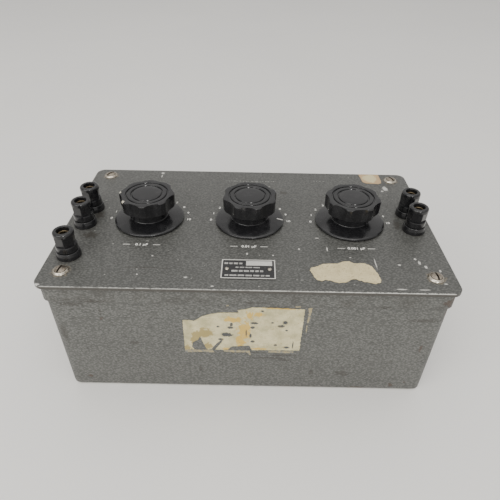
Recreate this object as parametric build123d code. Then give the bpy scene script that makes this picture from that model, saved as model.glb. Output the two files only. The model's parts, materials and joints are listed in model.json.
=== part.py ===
"""Three-dial decade capacitance box: a cast box with a top panel, three rotary
switches and five screw-down binding posts.  Millimetres, +Z up, origin at the
centre of the box's bottom face, +Y towards the back of the panel."""
import os
from math import cos, degrees, radians, sin

from build123d import *

# ---- driving dimensions -------------------------------------------------
panel_width = 241.3
panel_depth = 139.7
panel_top = 92.1
panel_thick = 2.4
panel_corner = 6.0

overhang = 2.7          # panel edge past the box wall
draft = 0.8             # each wall leans out by this much from bottom to top
wall = 3.0
floor_thick = 3.0
wall_corner = 5.0
foot_round = 3.5
lip_height = 11.6
lip_proud = 1.2
lip_bevel = 1.0
boss_r = 7.5
boss_height = 24.0
boss_hole = 14.0

corner_x = 108.3        # panel screws
back_screw_y = 59.6
front_screw_y = -56.5
screw_r = 1.75
screw_head_r = 3.5
screw_length = 12.0
slot_width = 0.9
slot_angles = (78.0, 50.0, 96.0, 118.0)
cup_r = 4.75
cup_height = 1.5

dial_pitch = 67.0       # between neighbouring knobs
dial_step = 18.0        # degrees from one click to the next
dial_values = (6, 10, 7)
index_slip = (-4.5, -4.5, -2.0)

knob_height = 20.0      # above the panel
knob_r = 17.9           # at a lobe's tip
lobe_count = 8
neck_r = 12.4
scallop_r = 13.0        # each hollow between two lobes
scallop_floor = 16.0    # from the knob's axis to the bottom of a hollow
index_width = 0.8
set_screw_r = 1.6
set_screw_z = 6.9       # above the panel
skirt_r = 22.8
skirt_gap = 0.8
shaft_r = 3.15
bushing_bore_r = 3.2
bushing_r = 4.75
nut_across = 12.7

post_x = 108.3
post_pair_y = -7.4
jack_spacing = 19.05
ground_y = -41.2
base_r = 7.3
base_height = 4.4
stud_r = 3.15
stud_top = 16.2
jack_r = 2.1
insert_r = 3.9
cap_bottom = 4.6
collar_top = 8.7
flats_top = 15.2
cap_r = 6.3
flats_across = 10.3
cap_top = 18.1
post_nut_across = 9.0
post_washer_r = 5.4

wafer_r = 21.0
wafer_thick = 1.6
contact_r = 11.7         # middle of each contact face
contact_width = 2.0
contact_count = 11
tag_r = 15.0            # where each contact passes through the wafer
tie_x = 19.0            # tie screws, either side of the shaft

board_size = (206.0, 96.0, 1.6)
board_clear = 8.0       # board above the box floor
foot_x = 97.0
foot_y = 42.0
tag_reach = 10.6        # from a post's axis to the hole in its solder tag

# ---- places worked out from them ----------------------------------------
panel_under = panel_top - panel_thick
half_w = panel_width / 2 - overhang
half_d = panel_depth / 2 - overhang
dials = [(-dial_pitch, 0.0), (0.0, 0.0), (dial_pitch, 0.0)]
index_angles = [180.0 - dial_step * v + s for v, s in zip(dial_values, index_slip)]
posts = {
    "rear_left": (-post_x, post_pair_y + jack_spacing),
    "mid_left": (-post_x, post_pair_y),
    "front_left": (-post_x, ground_y),
    "rear_right": (post_x, post_pair_y + jack_spacing),
    "front_right": (post_x, post_pair_y),
}
decades = ("tenths", "hundredths", "thousandths")
corners = [(s * corner_x, y) for s in (-1, 1) for y in (front_screw_y, back_screw_y)]
plate_centre = (0.0, -52.0)
plate_size = (31.7, 17.4, 0.6)
rivet_x = 12.5
index_z = panel_under - 1.0         # top of each switch's index plate
wafer_z = panel_under - 22.0        # top of each switch's wafer
board_z = floor_thick + board_clear + board_size[2]


# ---- helpers ------------------------------------------------------------
def rod(x, y, z0, z1, r):
    """A vertical cylinder between two heights."""
    return Pos(x, y, (z0 + z1) / 2) * Cylinder(r, z1 - z0)


def tube(x, y, z0, z1, r, hole):
    return rod(x, y, z0, z1, r) - rod(x, y, z0 - 1, z1 + 1, hole)


def slab(x, y, z0, z1, w, d):
    return Pos(x, y, (z0 + z1) / 2) * Box(w, d, z1 - z0)


def plate(w, d, z0, z1, corner, taper=0):
    """A vertical prism on a rounded rectangle centred on the origin."""
    return extrude(Pos(0, 0, z0) * RectangleRounded(w, d, corner), z1 - z0, taper=taper)


def hex_prism(x, y, z0, z1, across):
    shape = RegularPolygon(across / 2, 6, major_radius=False)
    return Pos(x, y, z0) * extrude(shape, z1 - z0)


def turned(points):
    """A solid of revolution about Z from (radius, height) points."""
    edge = Polyline(*[(r, 0, z) for r, z in points], close=True)
    return revolve(make_face(edge), Axis.Z)


def at_dial(shape, i):
    return Pos(dials[i][0], dials[i][1], 0) * shape


def save(name, *solids):
    """Write one node, its separate solids side by side."""
    label = Compound(children=list(solids)) if len(solids) > 1 else solids[0]
    export_step(label, f"parts/{name}.step")


# ---- box and panel ------------------------------------------------------
def case_box():
    """Cast box with drafted walls, a rim lip and four corner screw bosses."""
    lean = -degrees(draft / panel_under)
    body = plate(2 * (half_w - draft), 2 * (half_d - draft), 0, panel_under, wall_corner, lean)
    body = fillet(body.faces().sort_by(Axis.Z)[0].edges(), foot_round)
    lip = plate(2 * (half_w + lip_proud), 2 * (half_d + lip_proud),
                panel_under - lip_height, panel_under, wall_corner + lip_proud)
    body += chamfer(lip.faces().sort_by(Axis.Z)[0].edges(), lip_bevel)
    inner = plate(2 * (half_w - draft - wall), 2 * (half_d - draft - wall),
                  floor_thick, panel_under + 1, wall_corner - 1.5, lean)
    body -= inner
    for x, y in corners:
        body += rod(x, y, panel_under - boss_height, panel_under, boss_r) & \
            plate(2 * half_w - 1, 2 * half_d - 1, 0, panel_under, wall_corner)
        body -= rod(x, y, panel_under - boss_hole, panel_under + 1, screw_r)
    return body


def top_panel():
    """Flat panel with its screw, bushing, post and rivet holes."""
    body = plate(panel_width, panel_depth, panel_under, panel_top, panel_corner)
    body = fillet(body.faces().sort_by(Axis.Z)[-1].edges(), 0.5)
    holes = [(x, y, screw_r + 0.2) for x, y in corners]
    holes += [(x, y, bushing_r) for x, y in dials]
    holes += [(x, y, 4.5) for x, y in posts.values()]
    holes += [(s * rivet_x, plate_centre[1], 0.8) for s in (-1, 1)]
    for x, y, r in holes:
        body -= rod(x, y, panel_under - 1, panel_top + 1, r)
    return body


def panel_screw(x, y, slot_angle):
    """Slotted oval-head screw sunk in its cup washer."""
    z = panel_top
    head = turned([(0, z + 0.2), (screw_r, z + 0.2), (screw_head_r, z + 1.5),
                   (3.2, z + 1.95), (2.4, z + 2.3), (1.3, z + 2.55), (0, z + 2.6)])
    shank = rod(0, 0, z - screw_length, z + 0.2, screw_r)
    slot = Rot(0, 0, slot_angle) * Pos(0, 0, z + 2.4) * Box(3 * screw_head_r, slot_width, 2.0)
    return Pos(x, y, 0) * (head + shank - slot)


def cup_washer(x, y):
    """Raised finishing washer whose cup takes the screw's cone."""
    z = panel_top
    ring = turned([(screw_r, z), (cup_r, z), (cup_r, z + 0.35), (4.2, z + 1.2),
                   (3.75, z + cup_height), (screw_head_r, z + cup_height), (screw_r, z + 0.2)])
    return Pos(x, y, 0) * ring


def data_plate():
    """Etched plate with a raised rim, a raised line block and a blank window."""
    w, d, t = plate_size
    x, y = plate_centre
    z = panel_top
    body = slab(x, y, z, z + t, w, d)
    body = fillet(body.edges().filter_by(Axis.Z), 0.6)
    body -= slab(x, y, z + t - 0.15, z + t + 1, w - 1.4, d - 1.4)
    body += slab(x + 6.3, y + 5.3, z + t - 0.3, z + t, 15.4, 4.2)
    for s in (-1, 1):
        body -= rod(s * rivet_x, y, z - 1, z + 1, 0.8)
    return body


def plate_rivet(side):
    z = panel_top + plate_size[2] - 0.15
    head = turned([(0, z), (1.3, z), (1.25, z + 0.3), (0.9, z + 0.6), (0, z + 0.75)])
    stem = rod(0, 0, panel_under - 1.6, z, 0.8)
    return Pos(side * rivet_x, plate_centre[1], 0) * (head + stem)


# ---- binding posts ------------------------------------------------------
def post_base(x, y):
    """Moulded bushing: a coved foot above the panel and a spigot through it."""
    z = panel_top
    foot = turned([(stud_r, z), (base_r, z), (base_r, z + 2.2), (base_r - 0.3, z + 3.2),
                   (base_r - 0.7, z + base_height), (stud_r, z + base_height)])
    return Pos(x, y, 0) * (foot + tube(0, 0, panel_under, z, 4.5, stud_r))


def post_stud(x, y):
    """Threaded brass stud, bored for a 4 mm plug, with a cross hole for wire."""
    z = panel_top
    body = rod(x, y, z - 12, z + stud_top, stud_r)
    body = chamfer(body.faces().sort_by(Axis.Z)[-1].edges(), 0.3)
    body -= rod(x, y, z + 0.2, z + stud_top + 1, jack_r)
    body -= Pos(x, y, z + 6.2) * Rot(90, 0, 0) * Cylinder(0.9, 10)
    return body


def post_insert(x, y):
    """Brass thread insert that the cap turns with."""
    return tube(x, y, panel_top + 6.0, panel_top + 15.4, insert_r, stud_r + 0.05)


def post_cap(x, y):
    """Moulded cap: hexagon flats between a plain collar and a round rim."""
    z = panel_top
    rim = cap_r - 0.15
    profile = [(0, z + cap_bottom), (cap_r - 0.2, z + cap_bottom), (cap_r, z + cap_bottom + 0.3),
               (cap_r, z + collar_top - 0.4), (rim, z + collar_top), (rim, z + cap_top - 0.7),
               (rim - 0.65, z + cap_top), (0, z + cap_top)]
    flats = Pos(0, 0, z + collar_top) * RegularPolygon(flats_across / 2, 6, major_radius=False)
    limit = extrude(flats, flats_top - collar_top, taper=-2.4)
    limit += rod(0, 0, z, z + collar_top, 2 * cap_r) + rod(0, 0, z + flats_top, z + 20, 2 * cap_r)
    body = turned(profile) & limit
    body -= rod(0, 0, z + 5.8, z + 15.6, insert_r + 0.05)
    body -= rod(0, 0, z, z + 6, stud_r + 0.25)
    body -= rod(0, 0, z + 15.5, z + 20, insert_r - 0.2)
    return Pos(x, y, 0) * Rot(0, 0, 12) * body


def post_washer(x, y):
    return tube(x, y, panel_under - 1.2, panel_under, post_washer_r, stud_r)


def post_nut(x, y, top):
    return hex_prism(x, y, top - 3.0, top, post_nut_across) - rod(x, y, top - 4, top + 1, stud_r)


def solder_lug(x, y):
    """Ring tag between the two nuts, its tail towards the middle of the box."""
    top = panel_under - 4.2
    side = -1 if x > 0 else 1
    tag = rod(x, y, top - 0.6, top, 4.6) + slab(x + side * 8, y, top - 0.6, top, 10, 3.4)
    tag -= rod(x, y, top - 2, top + 2, stud_r)
    return tag - rod(x + side * tag_reach, y, top - 2, top + 2, 0.9)


# ---- rotary switches (built on the Z axis) ------------------------------
def switch_bushing():
    z = panel_under
    body = tube(0, 0, z - 5.0, panel_top + 4.6, bushing_r, bushing_bore_r)
    return body + tube(0, 0, z - 5.0, index_z - 1.2, 8.0, bushing_bore_r)


def bushing_nut():
    return hex_prism(0, 0, panel_top, panel_top + 2.4, nut_across) - \
        rod(0, 0, panel_top - 1, panel_top + 4, bushing_r)


def lock_washer():
    return tube(0, 0, index_z, panel_under, 8.2, bushing_r)


def index_plate():
    """Oval steel plate with an ear at each tie screw."""
    body = slab(0, 0, index_z - 1.2, index_z, 2 * tie_x, 9) + rod(0, 0, index_z - 1.2, index_z, 13.0)
    for s in (-1, 1):
        body += rod(s * tie_x, 0, index_z - 1.2, index_z, 4.5)
        body -= rod(s * tie_x, 0, index_z - 2, index_z + 1, 1.5)
    return body - rod(0, 0, index_z - 3, index_z + 1, bushing_r)


def index_spring():
    """Leaf spring hung from the index plate, its roller just off the star wheel."""
    top = index_z - 1.2
    foot = slab(0, 10.6, top - 0.5, top, 5, 4.4)
    leaf = slab(0, 12.6, top - 10.0, top, 5, 0.4)
    roller = Pos(0, 11.5, top - 8.2) * Cylinder(1.0, 3.0)
    return foot + leaf + roller


def shaft():
    top = panel_top + 17.0
    body = rod(0, 0, wafer_z - 7, top, shaft_r)
    return chamfer(body.faces().sort_by(Axis.Z)[-1].edges(), 0.4)


def rotor(angle):
    """Hub on the shaft: twenty-tooth star wheel above, insulating sleeve below."""
    z = index_z - 10.0
    star = rod(0, 0, z, z + 3.0, 9.6)
    for k in range(20):
        a = radians(angle + dial_step * (k + 0.5))
        star -= rod(10.6 * cos(a), 10.6 * sin(a), z - 1, z + 4, 1.5)
    sleeve = rod(0, 0, wafer_z - 4.0, z, 5.2)
    return star + sleeve - rod(0, 0, wafer_z - 8, index_z, shaft_r)


def wiper(angle):
    """Bronze blade on the sleeve that reaches the contact below it."""
    z = wafer_z + 1.0
    blade = tube(0, 0, z, z + 0.6, 7.0, 5.2) + slab(9.7, 0, z, z + 0.6, 7.0, 2.6)
    tip = slab(contact_r, 0, z - 0.3, z + 0.1, 1.6, 2.2)
    return Rot(0, 0, angle) * (blade + tip)


def wafer():
    """Laminate disc with an ear at each tie screw and a slot for each contact."""
    body = rod(0, 0, wafer_z - wafer_thick, wafer_z, wafer_r) - rod(0, 0, wafer_z - 5, wafer_z + 1, 6.2)
    for s in (-1, 1):
        body += tube(s * tie_x, 0, wafer_z - wafer_thick, wafer_z, 4.5, 1.5)
        body -= rod(s * tie_x, 0, wafer_z - 3, wafer_z + 1, 1.5)
    for k in range(contact_count):
        slot = slab(tag_r, 0, wafer_z - 3, wafer_z + 1, 0.8, contact_width + 0.2)
        body -= Rot(0, 0, dial_step * k) * slot
    return body


def contact(k):
    """One clip: a face on the wafer's top and a tag down through its slot."""
    reach = slab(contact_r, 0, wafer_z, wafer_z + 0.5, 2 * (tag_r + 0.3 - contact_r), contact_width)
    tag = slab(tag_r, 0, wafer_z - 6.0, wafer_z + 0.5, 0.6, contact_width)
    return Rot(0, 0, dial_step * k) * (reach + tag)


def tie_screw(side):
    z0 = wafer_z - wafer_thick - 3.4
    body = rod(side * tie_x, 0, z0, index_z, 1.5)
    return body + rod(side * tie_x, 0, index_z, index_z + 0.8, 2.7)


def tie_spacer(side):
    return tube(side * tie_x, 0, wafer_z, index_z - 1.2, 3.0, 1.5)


def tie_nut(side):
    top = wafer_z - wafer_thick
    return hex_prism(side * tie_x, 0, top - 2.4, top, 5.5) - rod(side * tie_x, 0, top - 4, top + 1, 1.5)


# ---- knob ---------------------------------------------------------------
def knob(angle):
    """Fluted grip over a round neck and a thin dished skirt with an index line."""
    z = panel_top
    k = z + knob_height
    outline = [(0, z + 2.0), (9.6, z + 2.0), (21.4, z + skirt_gap), (skirt_r, z + skirt_gap),
               (skirt_r, z + 1.7), (22.3, z + 2.1), (16.6, z + 3.3), (13.0, z + 4.1),
               (neck_r, z + 4.7), (neck_r, z + 10.6), (16.8, z + 10.8), (17.5, z + 11.4),
               (knob_r, k - 0.6), (17.7, k - 0.2), (17.3, k), (13.8, k), (13.6, k - 0.6),
               (12.9, k - 0.6), (12.7, k - 0.1), (10.5, k - 0.1), (10.2, k - 0.7),
               (9.5, k - 0.7), (9.3, k - 0.2), (0, k - 0.2)]
    body = turned(outline)
    d = scallop_floor + scallop_r
    for n in range(lobe_count):
        a = radians(n * 360 / lobe_count)
        body -= rod(d * cos(a), d * sin(a), z + 5.2, k + 1, scallop_r)
    line = Box(skirt_r - knob_r, index_width, 0.9)
    body -= Pos((skirt_r + knob_r) / 2 + 0.1, 0, z + 2.9) * Rot(0, 12, 0) * line
    body -= rod(0, 0, z, z + 6.0, 8.6)
    body -= rod(0, 0, z, z + 17.2, shaft_r)
    for turn in (45, 135):
        hole = Pos(8.0, 0, z + set_screw_z) * Rot(0, 90, 0) * Cylinder(set_screw_r, 12)
        body -= Rot(0, 0, turn) * hole
    return Rot(0, 0, angle) * body


def set_screw(angle):
    """Slotted grub screw through the neck onto the shaft."""
    length = 5.2
    body = Pos(shaft_r + length / 2, 0, 0) * Rot(0, 90, 0) * Cylinder(set_screw_r, length)
    body -= Pos(shaft_r + length, 0, 0) * Box(1.2, 0.5, 4)
    body -= Cylinder(shaft_r, 6)
    return Rot(0, 0, angle) * Pos(0, 0, panel_top + set_screw_z) * body


# ---- board, capacitors and wiring ---------------------------------------
def capacitor_board():
    w, d, t = board_size
    body = slab(0, 0, board_z - t, board_z, w, d)
    for x, y in board_feet():
        body -= rod(x, y, board_z - 3, board_z + 1, 1.75)
    return body


def board_feet():
    return [(sx * foot_x, sy * foot_y) for sx in (-1, 1) for sy in (-1, 1)]


def board_standoff(x, y):
    return hex_prism(x, y, floor_thick, board_z - board_size[2], 7.0)


def board_screw(x, y):
    """Pan-head screw on the board; its foot stops on the standoff."""
    return rod(x, y, board_z - board_size[2], board_z, 1.75) + rod(x, y, board_z, board_z + 1.8, 3.2)


def can_capacitor(x, y, w, d, h):
    """Drawn can with two button terminals on its lid."""
    body = slab(x, y, board_z, board_z + h, w, d)
    body = fillet(body.edges().filter_by(Axis.Z), 2.5)
    for s in (-1, 1):
        body += rod(x, y + s * d / 4, board_z + h, board_z + h + 3.0, 2.2)
    return body


def moulded_capacitor(x, y, w, d, h):
    """Moulded mica block standing on its edge, tags at both ends."""
    body = slab(x, y, board_z, board_z + h, w, d)
    body = fillet(body.edges().filter_by(Axis.Z), 1.2)
    for s in (-1, 1):
        body += slab(x, y + s * (d / 2 + 1.4), board_z + h / 2, board_z + h / 2 + 0.8, 4, 3.0)
    return body


def capacitor_row(i):
    """Four capacitors of one decade, weighted 1, 2, 3 and 4, under its switch."""
    cx = dials[i][0] * 0.98
    sizes = [(11.0, 26, 22), (12.0, 30, 26), (13.0, 34, 30), (14.0, 38, 34)]
    make = can_capacitor if i == 0 else moulded_capacitor
    shrink = (1.0, 0.8, 0.6)[i]
    row = []
    x = cx - 26.0
    for w, d, h in sizes:
        row.append(make(x + w / 2, 0, w * (0.5 + shrink / 2), d * shrink, h * shrink))
        x += w + 1.0
    return row


def wire(points, bend, r=0.8):
    """Tinned wire along straight runs joined by arcs."""
    path = FilletPolyline(*points, radius=bend)
    return sweep(Plane(path @ 0, z_dir=path % 0) * Circle(r), path)


def bus_wire(y_post, y_run):
    """Joins a left and a right post's tags along one side of the switches."""
    z = panel_under - 4.8
    x = post_x - tag_reach
    low = z - 6.0
    return wire([(-x, y_post, z), (-x, y_post, low), (-x + 8, y_run, low),
                 (x - 8, y_run, low), (x, y_post, low), (x, y_post, z)], 2.4)


def ground_wire():
    """Ties the ground post's tag to the head of the board's corner screw."""
    z = panel_under - 4.8
    x = -(post_x - tag_reach)
    return wire([(x, ground_y, z), (x, ground_y, z - 12), (-foot_x, -foot_y, z - 24),
                 (-foot_x, -foot_y, board_z + 1.8)], 3.0)


def build():
    os.makedirs("parts", exist_ok=True)
    save("case_box", case_box())
    save("top_panel", top_panel())
    save("panel_screws", *[panel_screw(x, y, a) for (x, y), a in zip(corners, slot_angles)])
    save("cup_washers", *[cup_washer(x, y) for x, y in corners])
    save("data_plate", data_plate())
    save("plate_rivets", *[plate_rivet(s) for s in (-1, 1)])

    places = list(posts.values())
    save("post_bases", *[post_base(x, y) for x, y in places])
    save("post_studs", *[post_stud(x, y) for x, y in places])
    save("post_washers", *[post_washer(x, y) for x, y in places])
    upper = panel_under - 1.2
    save("post_nuts", *[post_nut(x, y, top) for x, y in places for top in (upper, upper - 3.6)])
    save("solder_lugs", *[solder_lug(x, y) for x, y in places])
    for name, (x, y) in posts.items():
        save(f"post_insert_{name}", post_insert(x, y))
        save(f"post_cap_{name}", post_cap(x, y))

    each = range(len(dials))
    save("switch_bushings", *[at_dial(switch_bushing(), i) for i in each])
    save("bushing_nuts", *[at_dial(bushing_nut(), i) for i in each])
    save("lock_washers", *[at_dial(lock_washer(), i) for i in each])
    save("index_plates", *[at_dial(index_plate(), i) for i in each])
    save("index_springs", *[at_dial(index_spring(), i) for i in each])
    for make in (tie_screw, tie_spacer, tie_nut):
        save(f"{make.__name__}s", *[at_dial(make(s), i) for i in each for s in (-1, 1)])
    for i, decade in enumerate(decades):
        angle = index_angles[i]
        click = angle - index_slip[i]
        save(f"wafer_{decade}", at_dial(wafer(), i))
        save(f"contacts_{decade}", *[at_dial(contact(k), i) for k in range(contact_count)])
        save(f"knob_{decade}", at_dial(knob(angle), i))
        save(f"set_screws_{decade}", *[at_dial(set_screw(angle + t), i) for t in (45, 135)])
        save(f"shaft_{decade}", at_dial(shaft(), i))
        save(f"rotor_{decade}", at_dial(rotor(click), i))
        save(f"wiper_{decade}", at_dial(wiper(click), i))
        save(f"capacitors_{decade}", *capacitor_row(i))

    save("capacitor_board", capacitor_board())
    save("board_standoffs", *[board_standoff(x, y) for x, y in board_feet()])
    save("board_screws", *[board_screw(x, y) for x, y in board_feet()])
    save("bus_wire_high", bus_wire(post_pair_y + jack_spacing, 30.0))
    save("bus_wire_low", bus_wire(post_pair_y, -30.0))
    save("ground_wire", ground_wire())


build()
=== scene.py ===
import json
import math
import random

import bmesh
import bpy
from mathutils import Matrix, Vector, geometry, noise

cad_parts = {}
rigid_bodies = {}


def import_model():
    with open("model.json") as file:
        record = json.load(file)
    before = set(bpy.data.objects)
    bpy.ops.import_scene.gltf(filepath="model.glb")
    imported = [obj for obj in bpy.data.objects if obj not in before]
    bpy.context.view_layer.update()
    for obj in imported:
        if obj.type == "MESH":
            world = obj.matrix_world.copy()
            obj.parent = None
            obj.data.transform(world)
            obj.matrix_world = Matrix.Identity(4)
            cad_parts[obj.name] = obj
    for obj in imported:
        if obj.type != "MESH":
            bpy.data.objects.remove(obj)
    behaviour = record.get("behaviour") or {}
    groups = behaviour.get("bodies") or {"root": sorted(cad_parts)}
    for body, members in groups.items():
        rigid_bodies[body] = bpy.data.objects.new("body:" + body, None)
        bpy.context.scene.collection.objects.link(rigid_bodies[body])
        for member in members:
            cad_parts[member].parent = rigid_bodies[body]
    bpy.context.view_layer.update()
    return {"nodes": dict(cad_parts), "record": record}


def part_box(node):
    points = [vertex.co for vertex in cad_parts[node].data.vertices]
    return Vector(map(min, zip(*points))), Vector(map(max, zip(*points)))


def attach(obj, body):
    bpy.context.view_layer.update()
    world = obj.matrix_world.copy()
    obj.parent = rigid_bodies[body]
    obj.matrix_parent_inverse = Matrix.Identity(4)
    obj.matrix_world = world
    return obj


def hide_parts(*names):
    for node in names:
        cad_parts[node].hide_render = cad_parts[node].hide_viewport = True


for old in list(bpy.data.objects):
    bpy.data.objects.remove(old)
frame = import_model()
print("frame loaded:", len(frame["nodes"]), "nodes")

mm = 0.001
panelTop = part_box("top_panel")[1].z
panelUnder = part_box("top_panel")[0].z
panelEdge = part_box("top_panel")[1]
decades = ("tenths", "hundredths", "thousandths")
postNames = ("rear_left", "mid_left", "front_left", "rear_right", "front_right")


def middle(node):
    low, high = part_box(node)
    return (low + high) / 2


dials = {d: middle("shaft_" + d) for d in decades}
posts = {p: middle("post_insert_" + p) for p in postNames}


# nodes of a tree: a socket given as a value is linked, anything else is set
def add(tree, kind, inputs=None, **props):
    node = tree.nodes.new(kind)
    for key, value in props.items():
        setattr(node, key, value)
    for key, value in (inputs or {}).items():
        if isinstance(value, bpy.types.NodeSocket):
            tree.links.new(value, node.inputs[key])
        else:
            node.inputs[key].default_value = value
    return node


def maths(tree, operation, a, b=0.0, c=0.0, clamp=False):
    node = add(tree, "ShaderNodeMath", {0: a, 1: b, 2: c}, operation=operation, use_clamp=clamp)
    return node.outputs[0]


def times(tree, a, b):
    return maths(tree, "MULTIPLY", a, b)


def timesPlus(tree, a, b, c):
    return maths(tree, "MULTIPLY_ADD", a, b, c)


def axes(tree, place):
    return add(tree, "ShaderNodeSeparateXYZ", {0: place}).outputs


def stretched(tree, place, scale):
    return add(tree, "ShaderNodeMapping", {"Vector": place, "Scale": scale}).outputs[0]


# materials
def newMaterial(name, **sockets):
    material = bpy.data.materials.new(name)
    material.use_nodes = True
    tree = material.node_tree
    shader = tree.nodes["Principled BSDF"]
    for key, value in sockets.items():
        shader.inputs[key.replace("_", " ")].default_value = value
    place = tree.nodes.new("ShaderNodeTexCoord").outputs["Object"]
    return material, tree, shader, place


def noiseAt(tree, place, scale, detail=4.0, rough=0.55, distort=0.0):
    node = add(tree, "ShaderNodeTexNoise", {"Vector": place, "Scale": scale, "Detail": detail,
                                            "Roughness": rough, "Distortion": distort})
    return node.outputs["Fac"]


def cells(tree, place, scale, feature="F1", smooth=0.6):
    node = add(tree, "ShaderNodeTexVoronoi", {"Vector": place, "Scale": scale}, feature=feature)
    if feature == "SMOOTH_F1":
        node.inputs["Smoothness"].default_value = smooth
    return node.outputs["Distance"]


def span(tree, value, low, high, toLow=0.0, toHigh=1.0, smooth=True):
    kind = "SMOOTHSTEP" if smooth else "LINEAR"
    node = add(tree, "ShaderNodeMapRange", {"Value": value, "From Min": low, "From Max": high,
                                            "To Min": toLow, "To Max": toHigh}, interpolation_type=kind)
    return node.outputs["Result"]


def mixed(tree, amount, first, second):
    node = add(tree, "ShaderNodeMix", data_type="RGBA")
    for index, value in ((0, amount), (6, first), (7, second)):
        if isinstance(value, bpy.types.NodeSocket):
            tree.links.new(value, node.inputs[index])
        elif index == 0:
            node.inputs[index].default_value = value
        else:
            node.inputs[index].default_value = (*value, 1)
    return node.outputs[2]


# a share of one colour laid over another where the mask is full
def over(tree, under, top, mask, share):
    return mixed(tree, times(tree, mask, share), under, top)


def spot(tree, place, centre, size, ragged=0.5, grain=900, seedShift=0.0):
    away = add(tree, "ShaderNodeVectorMath", {0: place, 1: tuple(centre)}, operation="SUBTRACT").outputs[0]
    scaled = add(tree, "ShaderNodeVectorMath", {0: away, 1: tuple(1 / s for s in size)},
                 operation="MULTIPLY").outputs[0]
    length = add(tree, "ShaderNodeVectorMath", {0: scaled}, operation="LENGTH").outputs["Value"]
    rough = noiseAt(tree, place, grain, 3.0, 0.6, 0.3 + seedShift)
    edge = timesPlus(tree, maths(tree, "SUBTRACT", rough, 0.5), ragged * 3, length)
    return span(tree, edge, 1.0, 0.75)


def either(tree, masks):
    total = masks[0]
    for mask in masks[1:]:
        total = maths(tree, "MAXIMUM", total, mask)
    return total


def bumpTo(tree, shader, height, strength, distance):
    node = add(tree, "ShaderNodeBump", {"Height": height, "Strength": strength, "Distance": distance})
    tree.links.new(node.outputs["Normal"], shader.inputs["Normal"])


# The dark dirt colour also paints shade: on the panel's edge, under the lip and round the screw heads. The
# bare-metal colour also paints one reflection on the panel.
enamel = {"dark": (0.100, 0.101, 0.093), "light": (0.190, 0.191, 0.178), "pit": (0.050, 0.050, 0.046),
          "bareAndReflection": (0.60, 0.59, 0.55), "dirtAndShade": (0.035, 0.030, 0.024), "rust": (0.060, 0.034, 0.022),
          "residue": (0.27, 0.22, 0.15), "cell": 980.0}

panelMarks = {
    # chips, scratches and specks; the light streak at (-1.0, -36.8) in front of the middle knob is a painted
    # reflection
    "chipsAndReflection": [((-68.9, 65.1), (1.3, 1.5)), ((101.5, 47.0), (2.0, 3.2)), ((98.6, 43.0), (1.2, 1.0)),
              ((101.0, -39.0), (0.9, 1.0)), ((102.6, -42.6), (0.8, 1.9)), ((105.4, -46.4), (0.9, 1.6)),
              ((31.1, -31.1), (0.7, 0.9)), ((-35.8, -59.9), (1.1, 0.7)), ((-58.2, -40.5), (0.6, 0.6)),
              ((-63.9, -58.2), (0.5, 0.6)), ((48.6, -30.5), (0.5, 2.6)), ((14.9, -38.0), (0.6, 0.6)),
              ((43.4, -19.0), (1.4, 0.5)), ((61.8, -38.6), (0.6, 0.5)), ((-1.0, -36.8), (0.6, 1.2)),
              ((112.8, -50.0), (0.7, 1.2)), ((-20.0, -67.2), (1.0, 0.6)), ((86.0, -66.8), (3.2, 0.5)),
              ((-118.0, -68.4), (2.0, 0.9)), ((-68.9, 60.4), (0.4, 2.4)), ((99.0, -66.9), (3.4, 0.4)),
              ((112.5, -61.5), (1.2, 0.5)), ((76.0, -44.0), (0.35, 5.0)), ((90.0, -45.0), (1.0, 0.8))],
    # stains; the spot at (-101.0, -20.0) beside the left posts is a painted shadow of the posts
    "stainsAndPostShadow": [((24.3, 38.0), (3.0, 2.8)), ((-101.5, 3.0), (3.2, 4.2)), ((-101.0, -20.0), (5.0, 4.0)),
               ((98.5, -1.5), (2.2, 6.5)), ((-60.0, -52.0), (14.0, 0.5)), ((54.0, 33.0), (9.0, 0.4))],
}


# speckled hammer finish: fine dimples with short dark dashes running along X
def hammerFinish(tree, place, shade):
    warp = noiseAt(tree, place, 300, 3.0)
    shifted = add(tree, "ShaderNodeVectorMath", {0: place, 1: times(tree, warp, 0.0012)},
                  operation="ADD").outputs[0]
    drawn = stretched(tree, shifted, (0.62, 1.15, 1.15))
    net = cells(tree, drawn, enamel["cell"], "SMOOTH_F1", 0.5)
    fine = noiseAt(tree, drawn, 1700, 3.0, 0.6)
    broad = noiseAt(tree, place, 34, 4.0)
    tone = timesPlus(tree, span(tree, net, 0.15, 0.70), 0.50,
                     timesPlus(tree, fine, 0.60, times(tree, broad, 0.20)))
    dark, light = (tuple(c * shade for c in enamel[k]) for k in ("dark", "light"))
    colour = mixed(tree, span(tree, tone, 0.35, 0.95), light, dark)
    pits = span(tree, noiseAt(tree, drawn, 820, 2.0, 0.7), 0.57, 0.66)
    return over(tree, colour, enamel["pit"], pits, 0.85), net, fine, broad


def edgeWear(tree, place, axis, edge, reach, grain):
    parts = axes(tree, place)
    away = maths(tree, "SUBTRACT", edge, maths(tree, "ABSOLUTE", parts[axis]))
    rough = noiseAt(tree, place, grain, 5.0, 0.7)
    return span(tree, timesPlus(tree, maths(tree, "SUBTRACT", rough, 0.5), -reach * 5, away),
                reach, reach * 0.5)


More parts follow.
